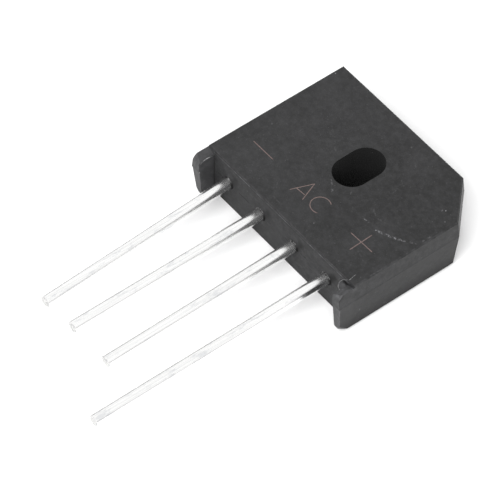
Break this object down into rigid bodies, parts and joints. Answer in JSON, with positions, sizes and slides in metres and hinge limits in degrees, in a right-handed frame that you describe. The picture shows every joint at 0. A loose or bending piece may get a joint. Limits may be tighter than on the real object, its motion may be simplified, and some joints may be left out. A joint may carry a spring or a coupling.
{
  "type": "bridge rectifier",
  "caption": "Single-phase bridge rectifier: flat black moulded body with a slot for a heat-sink screw, a cut corner by the positive side, and round wire leads in line.",
  "frame": {"origin": "centre of the screw slot on the heat-sink face", "axes": "+X towards the positive lead, +Y away from the leads, +Z out of the marked face"},
  "size_m": [0.023, 0.0451, 0.0066],
  "materials": {
    "epoxy": "satin charcoal moulding compound",
    "tinned_lead": "bright tin plate on copper wire",
    "copper": "stamped copper",
    "silicon": "glass-passivated silicon",
    "solder": "dull high-lead solder"
  },
  "bodies": {
    "root": {"body": "epoxy", "lead_minus": "tinned_lead", "lead_ac1": "tinned_lead", "lead_ac2": "tinned_lead", "lead_plus": "tinned_lead", "plate_ac1": "copper", "plate_ac2": "copper", "strap_plus": "copper", "strap_minus": "copper", "die_ac1_plus": "silicon", "die_ac1_minus": "silicon", "die_ac2_plus": "silicon", "die_ac2_minus": "silicon", "solder_ac1_plus_low": "solder", "solder_ac1_plus_top": "solder", "solder_ac1_minus_low": "solder", "solder_ac1_minus_top": "solder", "solder_ac2_plus_low": "solder", "solder_ac2_plus_top": "solder", "solder_ac2_minus_low": "solder", "solder_ac2_minus_top": "solder", "joint_minus": "solder", "joint_ac1": "solder", "joint_ac2": "solder", "joint_plus": "solder"}
  },
  "joints": []
}
